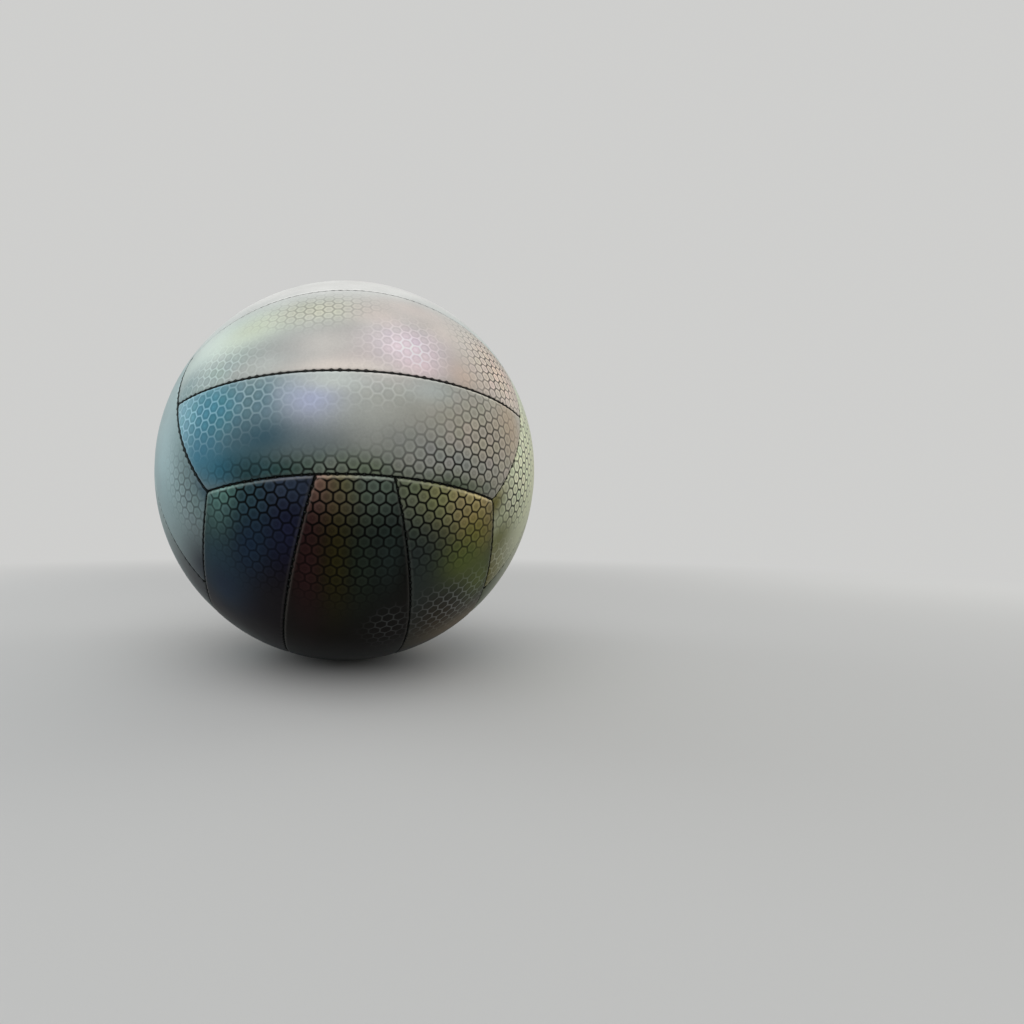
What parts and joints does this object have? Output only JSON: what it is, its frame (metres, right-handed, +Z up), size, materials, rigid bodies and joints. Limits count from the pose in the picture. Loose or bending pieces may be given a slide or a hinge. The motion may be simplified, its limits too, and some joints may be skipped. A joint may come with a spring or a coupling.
{
  "type": "volleyball",
  "caption": "Inflatable indoor volleyball sewn from long film-covered strips in the classic three-strip block pattern, over a cloth lining and a rubber bladder with a needle valve.",
  "frame": {"origin": "centre of the ball", "axes": "+Z up as the ball lies in the picture, -Y towards the viewer, +X to the viewer's right"},
  "size_m": [0.2098, 0.2098, 0.2098],
  "materials": {
    "cover_film": "reflective film with a fine honeycomb, softly iridescent",
    "lining_cloth": "plain woven backing cloth",
    "seam_thread": "waxed dark thread",
    "bladder_rubber": "matt butyl",
    "seat_rubber": "moulded rubber",
    "plug_rubber": "moulded rubber"
  },
  "bodies": {
    "ball": {"bladder": "bladder_rubber", "lining_bottom_left": "lining_cloth", "lining_bottom_middle": "lining_cloth", "lining_bottom_right": "lining_cloth", "lining_front_lower": "lining_cloth", "lining_front_middle": "lining_cloth", "lining_front_upper": "lining_cloth", "lining_left_front": "lining_cloth", "lining_left_middle": "lining_cloth", "lining_left_rear": "lining_cloth", "lining_rear_lower": "lining_cloth", "lining_rear_middle": "lining_cloth", "lining_rear_upper": "lining_cloth", "lining_right_front": "lining_cloth", "lining_right_middle": "lining_cloth", "lining_right_rear": "lining_cloth", "lining_top_left": "lining_cloth", "lining_top_middle": "lining_cloth", "lining_top_right": "lining_cloth", "panel_bottom_left": "cover_film", "panel_bottom_middle": "cover_film", "panel_bottom_right": "cover_film", "panel_front_lower": "cover_film", "panel_front_middle": "cover_film", "panel_front_upper": "cover_film", "panel_left_front": "cover_film", "panel_left_middle": "cover_film", "panel_left_rear": "cover_film", "panel_rear_lower": "cover_film", "panel_rear_middle": "cover_film", "panel_rear_upper": "cover_film", "panel_right_front": "cover_film", "panel_right_middle": "cover_film", "panel_right_rear": "cover_film", "panel_top_left": "cover_film", "panel_top_middle": "cover_film", "panel_top_right": "cover_film", "thread_bottom_left": "seam_thread", "thread_bottom_loop": "seam_thread", "thread_bottom_right": "seam_thread", "thread_front_lower": "seam_thread", "thread_front_upper": "seam_thread", "thread_left_front": "seam_thread", "thread_left_front_edge": "seam_thread", "thread_left_rear": "seam_thread", "thread_left_rear_edge": "seam_thread", "thread_rear_lower": "seam_thread", "thread_rear_upper": "seam_thread", "thread_right_front": "seam_thread", "thread_right_front_edge": "seam_thread", "thread_right_rear": "seam_thread", "thread_right_rear_edge": "seam_thread", "thread_top_left": "seam_thread", "thread_top_loop": "seam_thread", "thread_top_right": "seam_thread", "valve_seat": "seat_rubber"},
    "plug": {"valve_plug": "plug_rubber"}
  },
  "joints": [
    {"name": "plug_pull", "type": "slide", "parent": "ball", "child": "plug", "axis": [0, 0.515, 0.8572], "range_m": [0, 0.024]}
  ]
}
